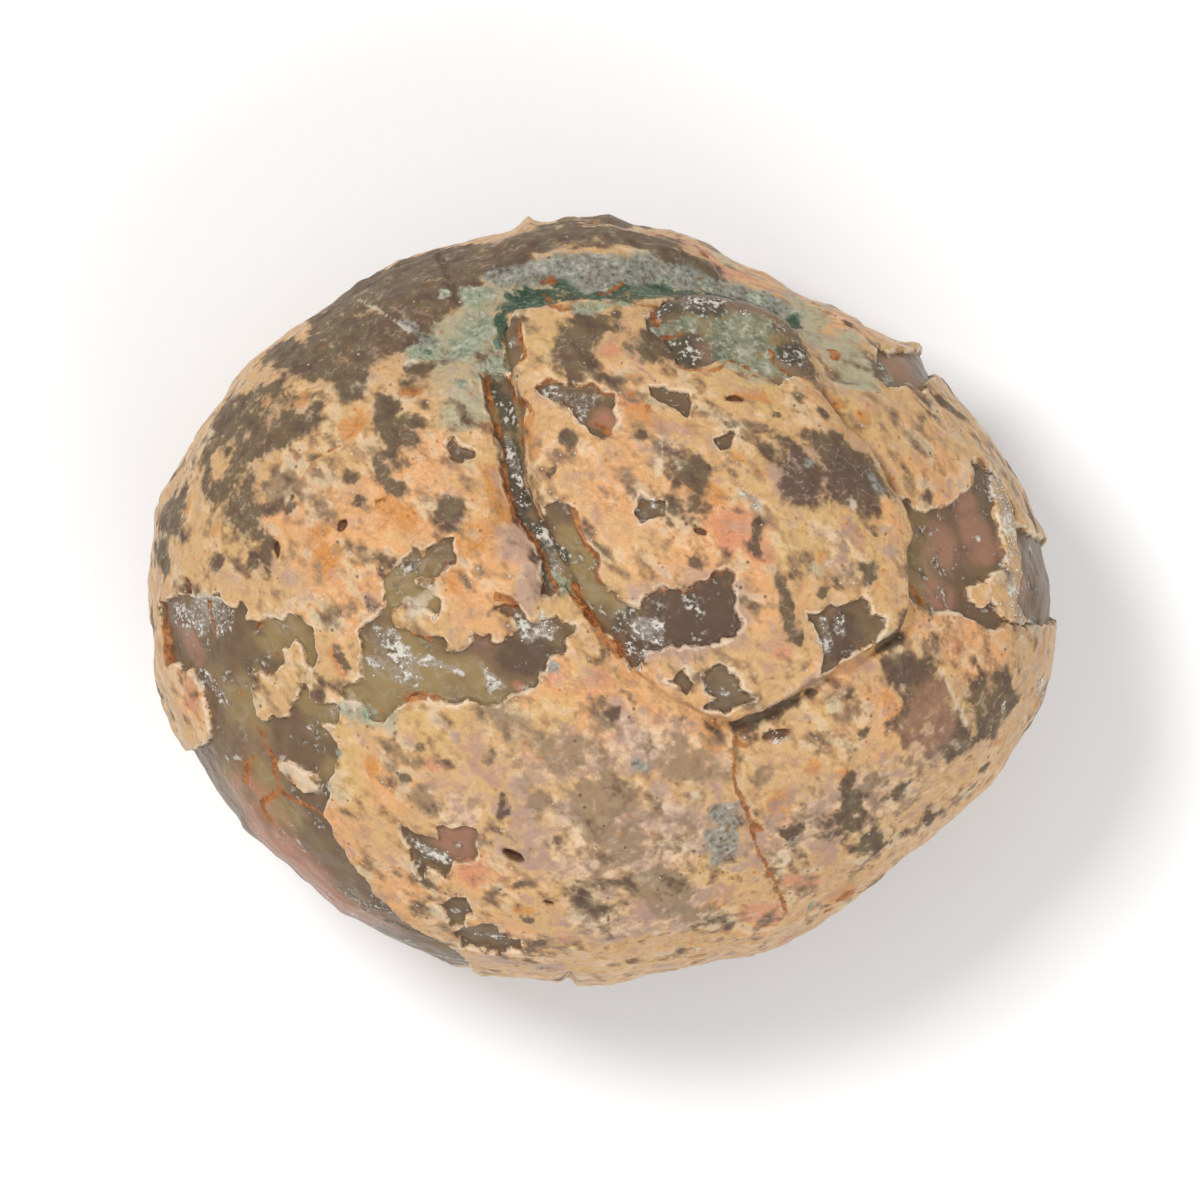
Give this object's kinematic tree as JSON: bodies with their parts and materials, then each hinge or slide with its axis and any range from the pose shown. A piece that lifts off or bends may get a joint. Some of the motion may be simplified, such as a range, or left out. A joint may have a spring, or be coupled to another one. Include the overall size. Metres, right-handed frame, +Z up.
{
  "type": "agate nodule",
  "caption": "Rounded agate nodule with a porcelain-like skin, chipped windows of agate, a raised lobe behind a groove, and a small flat spot to lie on.",
  "frame": {"origin": "under the middle of the stone, on the surface it lies on", "axes": "+X along the stone's length, +Z up through its flattened thickness, from the flat spot to the crown"},
  "size_m": [0.1136, 0.0966, 0.0707],
  "materials": {
    "agate_skin": "smooth, porcelain-like mineral skin with a dull shine, and glassy agate where it has chipped off"
  },
  "bodies": {
    "root": {"agate_nodule": "agate_skin"}
  },
  "joints": []
}
